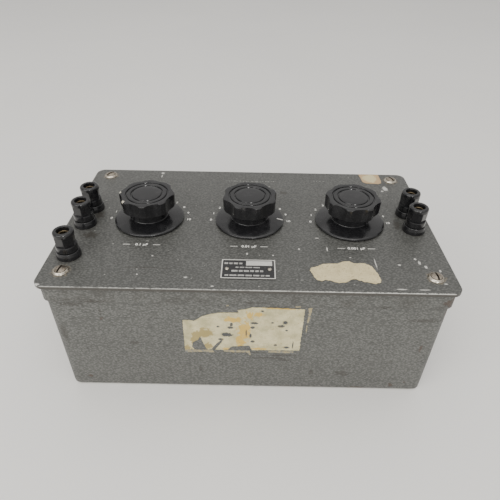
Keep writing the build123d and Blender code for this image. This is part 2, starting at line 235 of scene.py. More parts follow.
def panelEnamel():
    material, tree, shader, place = newMaterial("hammertonePanel", Metallic=0.0, IOR=1.5)
    # the same enamel as the case with a darker shade factor (0.60 against 0.77): the top panel painted
    # darker than the walls, as painted shade
    colour, net, fine, broad = hammerFinish(tree, place, 0.60)
    parts = axes(tree, place)
    z = panelTop
    # real stains and one painted post shadow, laid in the dark dirt colour
    stainsAndPostShadow = [spot(tree, place, (x * mm, y * mm, z), (a * mm, b * mm, 5 * mm), 0.8, 420, i * 0.3)
              for i, ((x, y), (a, b)) in enumerate(panelMarks["stainsAndPostShadow"])]
    colour = over(tree, colour, enamel["dirtAndShade"], either(tree, stainsAndPostShadow), 0.62)
    rings = []
    for low, high in cornerBoxes():
        centre = (low + high) / 2
        rings.append(spot(tree, place, (centre.x, centre.y, z), (5.9 * mm, 5.6 * mm, 5 * mm), 0.5, 500))
    for p in posts.values():
        rings.append(spot(tree, place, (p.x, p.y, z), (8.9 * mm, 9.2 * mm, 5 * mm), 0.35, 420))
    colour = over(tree, colour, enamel["residue"], either(tree, rings[:4]), 0.42)
    colour = over(tree, colour, enamel["dirtAndShade"], either(tree, rings[4:]), 0.30)
    chipsAndReflection = [spot(tree, place, (x * mm, y * mm, z), (a * mm, b * mm, 5 * mm), 0.65, 1300, i * 0.2)
             for i, ((x, y), (a, b)) in enumerate(panelMarks["chipsAndReflection"])]
    specks = span(tree, noiseAt(tree, place, 420, 1.0, 0.4), 0.775, 0.79)
    front = edgeWear(tree, place, 1, panelEdge.y, 0.26 * mm, 620)
    forward = span(tree, parts[1], 0.0, -0.03)
    side = edgeWear(tree, place, 0, panelEdge.x, 0.12 * mm, 400)
    upper = span(tree, parts[2], panelTop - 0.8 * mm, panelTop - 0.5 * mm)
    toRight = span(tree, parts[0], -0.05, 0.10, 0.60, 1.0)
    gaps = span(tree, noiseAt(tree, place, 140, 3.0, 0.7), 0.36, 0.50, 0.35, 1.0)
    rub = times(tree, times(tree, front, forward), times(tree, upper, toRight))
    rub = times(tree, rub, gaps)
    # wear, plus one painted reflection among the chips, shown as bare metal
    wearAndReflection = either(tree, chipsAndReflection + [times(tree, specks, 0.4), rub, times(tree, side, 0.5),
                                 times(tree, front, 0.10)])
    wearAndReflection = maths(tree, "MULTIPLY", wearAndReflection, 0.85, clamp=True)
    colour = mixed(tree, wearAndReflection, colour, enamel["bareAndReflection"])
    # painted shade and grime: the panel's edge face is darkened below its top 0.5 to 0.9 mm, towards the
    # joint with the lip
    under = span(tree, parts[2], panelTop - 0.5 * mm, panelTop - 0.9 * mm)
    colour = over(tree, colour, enamel["dirtAndShade"], under, 0.80)
    tree.links.new(colour, shader.inputs["Base Color"])
    smooth = span(tree, broad, 0.3, 0.7, 0.27, 0.35, False)
    tree.links.new(timesPlus(tree, fine, 0.12, smooth), shader.inputs["Roughness"])
    height = timesPlus(tree, fine, 0.25, net)
    bumpTo(tree, shader, height, 0.55, 0.00022)
    return material


caseMarks = {
    "scuffs": [((-102, -67, 76.0), (9, 5, 1.6)), ((-88, -67, 79.5), (7, 5, 2.0)),
               ((-70, -67, 43.5), (3.4, 5, 1.8)), ((5, -67, 81.0), (9, 5, 0.7)),
               ((80, -67, 78.8), (4.5, 5, 1.5)), ((62, -67, 17.6), (5.0, 5, 2.0)),
               ((42, -67, 18.0), (1.4, 5, 3.0)), ((81, -67, 37.4), (0.9, 5, 0.9)),
               ((-86.6, -67, 71.0), (0.8, 5, 3.0)), ((14, -67, 31.5), (13, 5, 1.0)),
               ((24, -67, 29.8), (5, 5, 0.7)), ((-30, -67, 20.0), (1.0, 5, 4.0)),
               ((-112, -67, 52), (2.5, 5, 7.0)), ((104, -67, 68), (9, 5, 1.4)),
               ((92, -67, 30), (2, 5, 1.2)), ((-30, -67, 36.4), (8, 5, 0.7)),
               ((-4, -67, 36.6), (14, 5, 0.6)), ((24, -67, 34.4), (11, 5, 1.0)),
               ((-8, -67, 78.6), (16, 5, 0.5)), ((22, -67, 76.6), (1.6, 5, 1.0)),
               ((-104, -67, 80.6), (3, 5, 1.4))],
    "rust": [((117.5, -60, 72), (2.2, 16, 10.0)), ((114.5, -66, 84), (3.2, 8, 3.0)),
             ((117, -62, 62), (1.2, 12, 4.0)), ((96.3, -67, 6.6), (1.5, 5, 1.8)),
             ((105.3, -67, 9.5), (0.9, 5, 1.1)), ((74, -67, 2.0), (5, 5, 1.4)),
             ((27, -67, 2.0), (3.0, 5, 1.2)), ((-86.8, -67, 64.8), (1.2, 5, 1.2)),
             ((108, -67, 43), (1.0, 5, 3.0)), ((-104, -67, 10), (1.5, 5, 1.0))],
}


def caseEnamel():
    material, tree, shader, place = newMaterial("hammertoneCase", Metallic=0.0, IOR=1.5)
    # the same enamel as the panel with a lighter shade factor: the walls painted lighter than the top panel
    colour, net, fine, broad = hammerFinish(tree, place, 0.77)
    parts = axes(tree, place)
    scuffs = [spot(tree, place, [c * mm for c in at], [s * mm for s in size], 1.1, 520, i * 0.2)
              for i, (at, size) in enumerate(caseMarks["scuffs"])]
    colour = over(tree, colour, enamel["dirtAndShade"], either(tree, scuffs), 0.55)
    streaks = stretched(tree, place, (1.0, 1.0, 7.0))
    smear = span(tree, noiseAt(tree, streaks, 42, 6.0, 0.7, 0.6), 0.60, 0.74)
    colour = over(tree, colour, enamel["pit"], smear, 0.28)
    rust = [spot(tree, place, [c * mm for c in at], [s * mm for s in size], 1.3, 260, i * 0.3)
            for i, (at, size) in enumerate(caseMarks["rust"])]
    colour = over(tree, colour, enamel["rust"], either(tree, rust), 0.7)
    # painted shade: the top band of the walls, the lip under the panel's overhang, darkened through a noise
    # mask
    shade = span(tree, parts[2], panelUnder - 10.5 * mm, panelUnder - 12.5 * mm)
    lipShade = times(tree, maths(tree, "SUBTRACT", 1.0, shade),
                    span(tree, noiseAt(tree, place, 150, 4.0), 0.4, 0.7))
    colour = over(tree, colour, enamel["dirtAndShade"], lipShade, 0.4)
    foot = span(tree, timesPlus(tree, noiseAt(tree, place, 300, 4.0), -0.004, parts[2]),
                0.0008, -0.0012)
    colour = over(tree, colour, enamel["bareAndReflection"], foot, 0.6)
    tree.links.new(colour, shader.inputs["Base Color"])
    smooth = span(tree, broad, 0.3, 0.7, 0.38, 0.50, False)
    tree.links.new(timesPlus(tree, fine, 0.12, smooth), shader.inputs["Roughness"])
    height = timesPlus(tree, fine, 0.25, net)
    bumpTo(tree, shader, height, 0.65, 0.00025)
    return material


screw = {"turns": (78.0, 50.0, 96.0, 118.0), "slotWidth": 1.15, "slotFloor": 1.45,
         "outline": [(0, -12.0, 0), (1.75, -12.0, 0), (1.75, 0.2, 0), (3.42, 1.5, 0.15), (3.3, 1.75, 0.3),
                     (2.4, 2.25, 1.0), (1.2, 2.5, 0.8), (0, 2.55, 0)]}
washer = {"radius": 4.75, "outline": [(1.9, 0.0, 0), (4.75, 0.0, 0.1), (4.75, 0.3, 0.2), (4.15, 1.2, 0.5),
                                      (3.8, 1.5, 0.25), (3.5, 1.5, 0.1), (1.9, 0.25, 0)]}


def cornerBoxes():
    found = []
    low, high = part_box("cup_washers")
    reach = Vector((washer["radius"] * mm, washer["radius"] * mm, 0))
    for x in (low.x + reach.x, high.x - reach.x):
        for y in (low.y + reach.y, high.y - reach.y):
            centre = Vector((x, y, panelTop))
            found.append((centre - reach, centre + reach))
    return found


bakelite = {"colour": (0.0105, 0.0105, 0.0115), "haze": (0.030, 0.030, 0.031), "dust": (0.16, 0.155, 0.14)}


def blackMoulding(name, glints=()):
    material, tree, shader, place = newMaterial(name, IOR=1.54, Specular_IOR_Level=0.46)
    low = span(tree, axes(tree, place)[2], panelTop + 8 * mm, panelTop + 5 * mm)
    haze = span(tree, noiseAt(tree, place, 120, 5.0, 0.65), 0.45, 0.75)
    colour = mixed(tree, times(tree, haze, 0.6), bakelite["colour"], bakelite["haze"])
    dust = span(tree, noiseAt(tree, place, 1900, 2.0), 0.71, 0.76)
    colour = over(tree, colour, bakelite["dust"], dust, 0.5)
    # painted glints: light spots laid in the moulding's colour at the given places
    for at, size in glints:
        colour = mixed(tree, spot(tree, place, at, size, 0.35, 1200), colour, (0.55, 0.52, 0.42))
    tree.links.new(colour, shader.inputs["Base Color"])
    scratch = stretched(tree, place, (1, 1, 0.12))
    worn = span(tree, noiseAt(tree, scratch, 800, 5.0, 0.7), 0.35, 0.8, 0.07, 0.18, False)
    dulled = timesPlus(tree, low, 0.08, worn)
    tree.links.new(timesPlus(tree, haze, 0.08, dulled), shader.inputs["Roughness"])
    bumpTo(tree, shader, noiseAt(tree, place, 240, 3.0), 0.12, 0.0003)
    return material


def wornMetal(name, base, dark, grime, rough=(0.18, 0.42), scale=500, metallic=1.0):
    material, tree, shader, place = newMaterial(name, Metallic=metallic)
    patina = span(tree, noiseAt(tree, place, scale, 5.0, 0.65), 0.35, 0.75)
    colour = mixed(tree, patina, base, dark)
    spots = span(tree, noiseAt(tree, place, scale * 2.4, 3.0), 0.62, 0.72)
    colour = over(tree, colour, grime, spots, 0.7)
    tree.links.new(colour, shader.inputs["Base Color"])
    tree.links.new(span(tree, patina, 0.0, 1.0, *rough, False), shader.inputs["Roughness"])
    bumpTo(tree, shader, noiseAt(tree, place, scale * 3, 3.0), 0.15, 0.00008)
    return material


# nickel with some grime, and painted shade darkening the slot floor and the head low down where it sits in
# the cup
def headMetal():
    material, tree, shader, place = newMaterial("dulledHead", Metallic=1.0)
    parts = axes(tree, place)
    patina = span(tree, noiseAt(tree, place, 600, 5.0, 0.65), 0.30, 0.70)
    colour = mixed(tree, patina, (0.42, 0.375, 0.31), (0.20, 0.165, 0.125))
    low = span(tree, parts[2], panelTop + 1.85 * mm, panelTop + 1.5 * mm)
    rough = noiseAt(tree, place, 900, 3.0)
    grimeAndShade = span(tree, maths(tree, "ADD", low, times(tree, rough, 0.4)), 0.55, 0.85)
    tree.links.new(mixed(tree, grimeAndShade, colour, enamel["dirtAndShade"]), shader.inputs["Base Color"])
    tree.links.new(maths(tree, "SUBTRACT", 1.0, grimeAndShade), shader.inputs["Metallic"])
    tree.links.new(span(tree, grimeAndShade, 0.0, 1.0, 0.36, 0.8, False), shader.inputs["Roughness"])
    bumpTo(tree, shader, noiseAt(tree, place, 1500, 3.0), 0.2, 0.00008)
    return material


def cupMetal():
    material, tree, shader, place = newMaterial("dulledCup", Metallic=1.0)
    parts = axes(tree, place)
    away = []
    for low, high in cornerBoxes():
        centre = (low + high) / 2
        reach = add(tree, "ShaderNodeVectorMath", {0: place, 1: (centre.x, centre.y, panelTop)},
                    operation="DISTANCE")
        away.append(reach.outputs["Value"])
    near = away[0]
    for reach in away[1:]:
        near = maths(tree, "MINIMUM", near, reach)
    patina = span(tree, noiseAt(tree, place, 500, 5.0, 0.65), 0.35, 0.75)
    colour = mixed(tree, patina, (0.62, 0.57, 0.48), (0.30, 0.26, 0.20))
    rough = times(tree, noiseAt(tree, place, 800, 3.0), 0.4)
    # painted shade with some grime: dark inside the cup round the screw head, and along the cup's foot on
    # the panel
    inner = span(tree, timesPlus(tree, rough, -0.001, near), 3.75 * mm, 3.55 * mm)
    outer = span(tree, parts[2], panelTop + 0.5 * mm, panelTop + 0.15 * mm)
    grimeAndShade = either(tree, [inner, times(tree, outer, 0.8)])
    tree.links.new(mixed(tree, grimeAndShade, colour, enamel["dirtAndShade"]), shader.inputs["Base Color"])
    tree.links.new(maths(tree, "SUBTRACT", 1.0, grimeAndShade), shader.inputs["Metallic"])
    tree.links.new(span(tree, grimeAndShade, 0.0, 1.0, 0.28, 0.8, False), shader.inputs["Roughness"])
    bumpTo(tree, shader, noiseAt(tree, place, 1500, 3.0), 0.15, 0.00008)
    return material


def plainStock(name, base, other, rough, scale, stretch=(1, 1, 1), metallic=0.0):
    material, tree, shader, place = newMaterial(name, Metallic=metallic)
    grain = stretched(tree, place, stretch)
    tone = span(tree, noiseAt(tree, grain, scale, 6.0, 0.7), 0.3, 0.75)
    tree.links.new(mixed(tree, tone, base, other), shader.inputs["Base Color"])
    tree.links.new(span(tree, tone, 0.0, 1.0, rough, min(1.0, rough + 0.18), False),
                   shader.inputs["Roughness"])
    bumpTo(tree, shader, tone, 0.2, 0.0001)
    return material


paper = {"cream": (0.68, 0.58, 0.34), "creamDark": (0.53, 0.455, 0.26), "white": (0.68, 0.61, 0.37),
         "whiteDark": (0.42, 0.38, 0.21), "amber": (0.62, 0.39, 0.055), "tan": (0.33, 0.25, 0.085),
         "ink": (0.045, 0.05, 0.06), "glue": (0.36, 0.30, 0.16), "peach": (0.48, 0.34, 0.19)}


def creamPaper():
    material, tree, shader, place = newMaterial("creamPaper", Roughness=0.78)
    blotch = span(tree, noiseAt(tree, place, 170, 5.0, 0.6), 0.30, 0.75)
    colour = mixed(tree, blotch, paper["cream"], paper["creamDark"])
    fibre = span(tree, noiseAt(tree, place, 1100, 3.0), 0.56, 0.68)
    colour = over(tree, colour, paper["glue"], fibre, 0.75)
    tree.links.new(colour, shader.inputs["Base Color"])
    bumpTo(tree, shader, noiseAt(tree, place, 700, 5.0, 0.7), 0.5, 0.0003)
    return material


frontWall = -67.0
labelLift = 1.75
labelMarks = {
    "amber": [((-8.6, 64.3), (5.2, 2.6)), ((-1.6, 55.0), (4.0, 9.5)), ((-4.2, 46.0), (3.4, 5.2)),
              ((1.6, 68.0), (3.0, 4.0)), ((6.8, 68.6), (3.2, 2.0)), ((20.0, 74.0), (13.0, 0.7)),
              ((8.0, 38.4), (6.0, 1.0)), ((-13.0, 37.6), (2.4, 1.6))],
    "tan": [((-26.9, 51.4), (6.0, 5.2)), ((-31.2, 44.6), (3.8, 4.6)), ((-36.4, 38.2), (3.6, 3.4)),
            ((-24.0, 40.0), (3.0, 3.0))],
    "ink": [((-10.4, 57.2), (2.2, 1.2)), ((-12.2, 51.0), (3.7, 2.0)), ((-17.6, 57.9), (0.9, 0.8)),
            ((4.2, 61.4), (2.4, 1.1)), ((-9.6, 59.8), (1.0, 1.8)), ((20.4, 59.2), (2.2, 1.3)),
            ((22.6, 62.4), (1.7, 1.7)), ((23.8, 55.6), (0.9, 0.8)), ((3.2, 57.6), (1.5, 1.2)),
            ((2.0, 50.4), (0.9, 2.2)), ((3.4, 45.2), (1.4, 1.2)), ((8.8, 71.6), (1.0, 0.8)),
            ((24.6, 40.2), (2.0, 1.1)), ((17.6, 42.2), (1.2, 1.0)), ((28.4, 42.6), (0.45, 3.6)),
            ((15.0, 62.0), (1.0, 0.7)), ((-0.6, 52.6), (0.45, 3.4)), ((-16.2, 46.8), (1.9, 1.0))],
}


def labelPaper():
    material, tree, shader, place = newMaterial("labelPaper", Roughness=0.72)
    blotch = span(tree, noiseAt(tree, place, 90, 6.0, 0.65), 0.35, 0.7)
    colour = mixed(tree, blotch, paper["white"], paper["whiteDark"])
    for key, strength, ragged, grain in (("amber", 0.80, 0.9, 330), ("tan", 0.85, 0.8, 260),
                                         ("ink", 0.95, 0.55, 800)):
        masks = [spot(tree, place, (x * mm, frontWall * mm, (z + labelLift) * mm), (a * mm, 0.02, b * mm),
                      ragged, grain, i * 0.4)
                 for i, ((x, z), (a, b)) in enumerate(labelMarks[key])]
        colour = over(tree, colour, paper[key], either(tree, masks), strength)
    fibre = span(tree, noiseAt(tree, place, 520, 5.0, 0.7, 0.8), 0.56, 0.68)
    colour = over(tree, colour, paper["tan"], fibre, 0.55)
    fleck = span(tree, noiseAt(tree, place, 1300, 3.0, 0.7), 0.60, 0.68)
    colour = over(tree, colour, paper["ink"], fleck, 0.35)
    tree.links.new(colour, shader.inputs["Base Color"])
    bumpTo(tree, shader, noiseAt(tree, place, 420, 5.0, 0.7), 0.6, 0.0004)
    return material


def tanPaper(centre):
    material, tree, shader, place = newMaterial("tanPaper", Roughness=0.70)
    middleMask = spot(tree, place, centre, (6.4 * mm, 6.6 * mm, 5 * mm), 0.3, 260)
    tone = mixed(tree, noiseAt(tree, place, 220, 5.0), paper["creamDark"], paper["white"])
    colour = mixed(tree, middleMask, paper["peach"], tone)
    faint = span(tree, noiseAt(tree, place, 640, 4.0, 0.7, 1.0), 0.60, 0.70)
    colour = over(tree, colour, paper["tan"], faint, 0.35)
    tree.links.new(colour, shader.inputs["Base Color"])
    bumpTo(tree, shader, noiseAt(tree, place, 700, 4.0), 0.4, 0.0003)
    return material


def gluePatches():
    material, tree, shader, place = newMaterial("oldGlue", Roughness=0.62)
    tone = span(tree, noiseAt(tree, place, 480, 5.0, 0.7), 0.4, 0.65)
    tree.links.new(mixed(tree, tone, paper["glue"], enamel["light"]), shader.inputs["Base Color"])
    bumpTo(tree, shader, noiseAt(tree, place, 900, 4.0), 0.5, 0.0002)
    return material


def legendPaint(name, colour):
    material, tree, shader, place = newMaterial(name, Roughness=0.6)
    worn = span(tree, noiseAt(tree, place, 900, 4.0, 0.7), 0.55, 0.72)
    tree.links.new(mixed(tree, worn, colour, enamel["light"]), shader.inputs["Base Color"])
    bumpTo(tree, shader, worn, 0.2, 0.00005)
    return material


def etchedPlate():
    material, tree, shader, place = newMaterial("etchedPlate", IOR=1.5)
    parts = axes(tree, place)
    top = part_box("data_plate")[1].z
    rim = span(tree, parts[2], top - 0.12 * mm, top - 0.06 * mm)
    fleck = span(tree, noiseAt(tree, place, 700, 4.0, 0.7), 0.62, 0.70)
    black = mixed(tree, times(tree, fleck, 0.4), (0.018, 0.018, 0.019), (0.30, 0.29, 0.27))
    bright = mixed(tree, noiseAt(tree, place, 900, 4.0), (0.78, 0.77, 0.72), (0.50, 0.49, 0.46))
    tree.links.new(mixed(tree, rim, black, bright), shader.inputs["Base Color"])
    tree.links.new(times(tree, rim, 0.35), shader.inputs["Metallic"])
    tree.links.new(timesPlus(tree, fleck, 0.15, 0.34), shader.inputs["Roughness"])
    bumpTo(tree, shader, noiseAt(tree, place, 1500, 3.0), 0.1, 0.0001)
    return material


palette = {
    "panel": panelEnamel(), "case": caseEnamel(), "black": blackMoulding("blackMoulding"),
    "nickel": wornMetal("nickel", (0.62, 0.58, 0.50), (0.38, 0.34, 0.27), (0.10, 0.08, 0.05)),
    "brass": wornMetal("brass", (0.17, 0.135, 0.085), (0.09, 0.07, 0.045), (0.03, 0.025, 0.018), (0.4, 0.6)),
    "tinned": wornMetal("tinnedWire", (0.66, 0.66, 0.64), (0.45, 0.45, 0.43), (0.2, 0.19, 0.17), (0.3, 0.5)),
    "steel": wornMetal("zincSteel", (0.58, 0.58, 0.56), (0.42, 0.41, 0.38), (0.16, 0.12, 0.08),
                       (0.25, 0.45)),
    "can": wornMetal("drawnCan", (0.64, 0.64, 0.63), (0.50, 0.50, 0.49), (0.30, 0.29, 0.27), (0.32, 0.5),
                     90),
    "laminate": plainStock("laminate", (0.26, 0.13, 0.05), (0.15, 0.07, 0.028), 0.42, 300, (1, 0.2, 4)),
    "moulded": plainStock("brownMoulding", (0.15, 0.055, 0.026), (0.09, 0.032, 0.016), 0.30, 220),
    "plate": etchedPlate(), "legend": legendPaint("legendPaint", (0.84, 0.83, 0.78)),
    "faded": legendPaint("fadedPaint", (0.30, 0.30, 0.28)), "cream": creamPaper(), "label": labelPaper(),
    "glue": gluePatches(), "head": headMetal(), "cup": cupMetal(),
}
slotPalette = {"hammertone_enamel": "panel", "nickel_plate": "nickel", "etched_plate": "plate",
               "black_bakelite": "black", "brass": "brass", "tinned_metal": "tinned", "laminate": "laminate",
               "steel": "steel", "capacitor_can": "can", "capacitor_moulding": "moulded"}
for part in frame["record"]["subparts"]:
    node = frame["nodes"][part["node"]]
    node.data.materials.clear()
    node.data.materials.append(palette[slotPalette[part["material_slot"]]])
frame["nodes"]["case_box"].data.materials[0] = palette["case"]
print("materials:", len(palette))


# shapes
def shown(name, data):
    item = bpy.data.objects.new(name, data)
    bpy.context.scene.collection.objects.link(item)
    return item


def meshOf(bm, name):
    mesh = bpy.data.meshes.new(name)
    bm.to_mesh(mesh)
    bm.free()
    return mesh


# the mesh that an object's modifiers or text give, and the object is gone
def baked(worker):
    bpy.context.view_layer.update()
    mesh = bpy.data.meshes.new_from_object(worker.evaluated_get(bpy.context.evaluated_depsgraph_get()))
    bpy.data.objects.remove(worker)
    return mesh


def finished(name, mesh, material, body, hides=(), angle=38):
    mesh.name = name
    mesh.materials.clear()
    mesh.materials.append(material)
    mesh.shade_smooth()
    mesh.set_sharp_from_angle(angle=math.radians(angle))
    piece = shown(name, mesh)
    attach(piece, body)
    if hides:
        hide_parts(*hides)


# (radius, height, rounding) corners in mm to a smooth line of (radius, height)
def softened(corners, closed=False, pieces=4):
    line = []
    count = len(corners)
    for i, (r, z, rounding) in enumerate(corners):
        here = Vector((r, z))
        if not rounding or (not closed and i in (0, count - 1)):
            line.append(here)
            continue
        before = Vector(corners[i - 1][:2])
        after = Vector(corners[(i + 1) % count][:2])
        start = here + (before - here).normalized() * min(rounding, (before - here).length * 0.48)
        end = here + (after - here).normalized() * min(rounding, (after - here).length * 0.48)
        for k in range(pieces + 1):
            t = k / pieces
            line.append(start * (1 - t) ** 2 + here * 2 * t * (1 - t) + end * t ** 2)
    return line


def lathe(line, steps=96, closed=False):
    bm = bmesh.new()
    rings = []
    for point in line:
        r, z = point.x * mm, point.y * mm
        if r < 1e-7:
            rings.append([bm.verts.new((0, 0, z))] * steps)
            continue
        rings.append([bm.verts.new((r * math.cos(2 * math.pi * k / steps),
                                    r * math.sin(2 * math.pi * k / steps), z))
                      for k in range(steps)])
    pairs = list(zip(rings, rings[1:] + ([rings[0]] if closed else [])))
    for lower, upper in pairs:
        for k in range(steps):
            ring = []
            for vert in (lower[k], lower[(k + 1) % steps], upper[(k + 1) % steps], upper[k]):
                if vert not in ring:
                    ring.append(vert)
            if len(ring) > 2:
                bm.faces.new(ring)
    bmesh.ops.recalc_face_normals(bm, faces=bm.faces)
    return meshOf(bm, "turned")


# geometry node trees
def newTree(name, inputs):
    tree = bpy.data.node_groups.new(name, "GeometryNodeTree")
    tree.interface.new_socket("Geometry", in_out="INPUT", socket_type="NodeSocketGeometry")
    for label, kind, value in inputs:
        socket = tree.interface.new_socket(label, in_out="INPUT", socket_type="NodeSocket" + kind)
        if value is not None:
            socket.default_value = value
    tree.interface.new_socket("Geometry", in_out="OUTPUT", socket_type="NodeSocketGeometry")
    return tree, tree.nodes.new("NodeGroupInput").outputs, tree.nodes.new("NodeGroupOutput").inputs


def throughTree(mesh, tree, values):
    worker = shown("worker", mesh)
    modifier = worker.modifiers.new("nodes", "NODES")
    modifier.node_group = tree
    for item in tree.interface.items_tree:
        if item.in_out == "INPUT" and item.name in values:
            modifier[item.identifier] = values[item.name]
    return baked(worker)


# keeps a turned shape inside a limit that repeats round it: scallops between lobes, or flats
def limitTree(name, inputs, limitOf):
    tree, given, out = newTree(name, inputs + [("Count", "Int", 8), ("Turn", "Float", 0.0),
                                               ("Soft", "Float", 0.0005), ("From Height", "Float", 0.0),
                                               ("To Height", "Float", 1.0),
                                               ("Material", "Material", None)])
    place = tree.nodes.new("GeometryNodeInputPosition").outputs[0]
    parts = axes(tree, place)
    flat = add(tree, "ShaderNodeCombineXYZ", {0: parts[0], 1: parts[1]}).outputs[0]
    radius = add(tree, "ShaderNodeVectorMath", {0: flat}, operation="LENGTH").outputs["Value"]
    angle = maths(tree, "SUBTRACT", maths(tree, "ARCTAN2", parts[1], parts[0]), given["Turn"])
    half = maths(tree, "DIVIDE", math.pi, given["Count"])
    swing = maths(tree, "WRAP", angle, half, times(tree, half, -1.0))
    limit = limitOf(tree, given, swing, parts[2])
    kept = maths(tree, "SMOOTH_MIN", radius, limit, given["Soft"])
    scale = maths(tree, "DIVIDE", kept, maths(tree, "MAXIMUM", radius, 1e-6))
    moved = add(tree, "ShaderNodeCombineXYZ", {0: times(tree, parts[0], scale),
                                               1: times(tree, parts[1], scale), 2: parts[2]}).outputs[0]
    above = maths(tree, "GREATER_THAN", parts[2], given["From Height"])
    below = maths(tree, "LESS_THAN", parts[2], given["To Height"])
    band = times(tree, above, below)
    shaped = add(tree, "GeometryNodeSetPosition", {"Geometry": given["Geometry"], "Selection": band,
                                                   "Position": moved}).outputs[0]
    real = add(tree, "GeometryNodeRealizeInstances", {"Geometry": shaped}).outputs[0]
    done = add(tree, "GeometryNodeSetMaterial", {"Geometry": real, "Material": given["Material"]}).outputs[0]
    tree.links.new(done, out["Geometry"])
    return tree


def scallopLimit(tree, given, swing, height):
    centre = maths(tree, "ADD", given["Valley Radius"], given["Scallop Radius"])
    across = times(tree, centre, maths(tree, "SINE", swing))
    under = maths(tree, "SUBTRACT", maths(tree, "POWER", given["Scallop Radius"], 2.0),
                  maths(tree, "POWER", across, 2.0))
    return maths(tree, "SUBTRACT", times(tree, centre, maths(tree, "COSINE", swing)),
                 maths(tree, "SQRT", maths(tree, "MAXIMUM", under, 0.0)))


def flatLimit(tree, given, swing, height):
    rise = maths(tree, "SUBTRACT", height, given["From Height"])
    apothem = timesPlus(tree, rise, given["Flare"], given["Apothem"])
    return maths(tree, "DIVIDE", apothem, maths(tree, "COSINE", swing))


scallopTree = limitTree("scallops", [("Valley Radius", "Float", 0.016), ("Scallop Radius", "Float", 0.013)],
                        scallopLimit)
flatsTree = limitTree("flats", [("Apothem", "Float", 0.0048), ("Flare", "Float", 0.05)], flatLimit)


# a copy of one piece at each point, turned by the point's own angle
def copiesTree():
    tree, given, out = newTree("copies", [("Piece", "Object", None), ("Material", "Material", None)])
    piece = add(tree, "GeometryNodeObjectInfo", {"Object": given["Piece"]}, transform_space="ORIGINAL")
    turn = add(tree, "GeometryNodeInputNamedAttribute", {"Name": "turn"},
               data_type="FLOAT").outputs["Attribute"]
    rotation = add(tree, "ShaderNodeCombineXYZ", {2: turn}).outputs[0]
    placed = add(tree, "GeometryNodeInstanceOnPoints",
                 {"Points": given["Geometry"], "Instance": piece.outputs["Geometry"],
                                                        "Rotation": rotation}).outputs[0]
    real = add(tree, "GeometryNodeRealizeInstances", {"Geometry": placed}).outputs[0]
    done = add(tree, "GeometryNodeSetMaterial", {"Geometry": real, "Material": given["Material"]}).outputs[0]
    tree.links.new(done, out["Geometry"])
    return tree


copyTree = copiesTree()


def copiesOf(mesh, places, material):
    master = shown("master", mesh)
    points = bpy.data.meshes.new("points")
    points.from_pydata([tuple(at) for at, turn in places], [], [])
    turns = points.attributes.new("turn", "FLOAT", "POINT")
    turns.data.foreach_set("value", [turn for at, turn in places])
    result = throughTree(points, copyTree, {"Piece": master, "Material": material})
    bpy.data.objects.remove(master)
    return result


# cuts a straight slot across a turned head
def slotTree():
    tree, given, out = newTree("slot", [("Slot Width", "Float", 0.0009), ("Slot Floor", "Float", 0.0015),
                                        ("Length", "Float", 0.01), ("Material", "Material", None)])
    size = add(tree, "ShaderNodeCombineXYZ",
               {0: given["Length"], 1: given["Slot Width"], 2: 0.004}).outputs[0]
    block = add(tree, "GeometryNodeMeshCube", {"Size": size}).outputs["Mesh"]
    lift = add(tree, "ShaderNodeCombineXYZ", {2: maths(tree, "ADD", given["Slot Floor"], 0.002)}).outputs[0]
    raised = add(tree, "GeometryNodeTransform", {"Geometry": block, "Translation": lift}).outputs[0]
    cut = add(tree, "GeometryNodeMeshBoolean", operation="DIFFERENCE", solver="EXACT")
    tree.links.new(given["Geometry"], cut.inputs["Mesh 1"])
    tree.links.new(raised, cut.inputs["Mesh 2"])
    real = add(tree, "GeometryNodeRealizeInstances", {"Geometry": cut.outputs["Mesh"]}).outputs[0]
    done = add(tree, "GeometryNodeSetMaterial", {"Geometry": real, "Material": given["Material"]}).outputs[0]
    tree.links.new(done, out["Geometry"])
    return tree


# knobs
knob = {"steps": 192, "lobes": 8, "valley": 16.0, "scallop": 13.0, "soft": 0.5, "gripFrom": 8.0,
        "bore": [(8.6, 2.2), (8.6, 6.0), (3.15, 6.0), (3.15, 17.2), (0, 17.2)],
        "glintBearings": (180, 222), "glintRadii": (17.4, 17.3), "glintHeights": (19.6, 19.7),
        "outline": [(8.6, 2.2, 0), (9.8, 2.2, 0), (21.4, 0.8, 0), (22.8, 0.8, 0.3), (22.8, 1.6, 0.4),
                    (22.1, 2.15, 0.5), (16.6, 3.3, 0), (12.6, 4.15, 0), (12.4, 4.4, 0), (12.4, 7.6, 0),
                    (12.4, 10.6, 0.3), (16.7, 10.7, 0.8), (17.6, 11.4, 0.7), (17.65, 12.6, 0),
                    (17.9, 19.2, 0.2), (17.8, 19.7, 0.3), (17.3, 20.0, 0.3), (13.9, 20.0, 0.2),
                    (13.6, 19.1, 0.15), (12.9, 19.1, 0.15), (12.6, 19.9, 0.25), (10.6, 19.9, 0.25),
                    (10.3, 19.1, 0.15), (9.5, 19.1, 0.15), (9.2, 19.85, 0.25), (5.0, 19.95, 2.0),
                    (0, 19.97, 0)]}
indexAngle = {"tenths": 67.5, "hundredths": -4.5, "thousandths": 52.0}


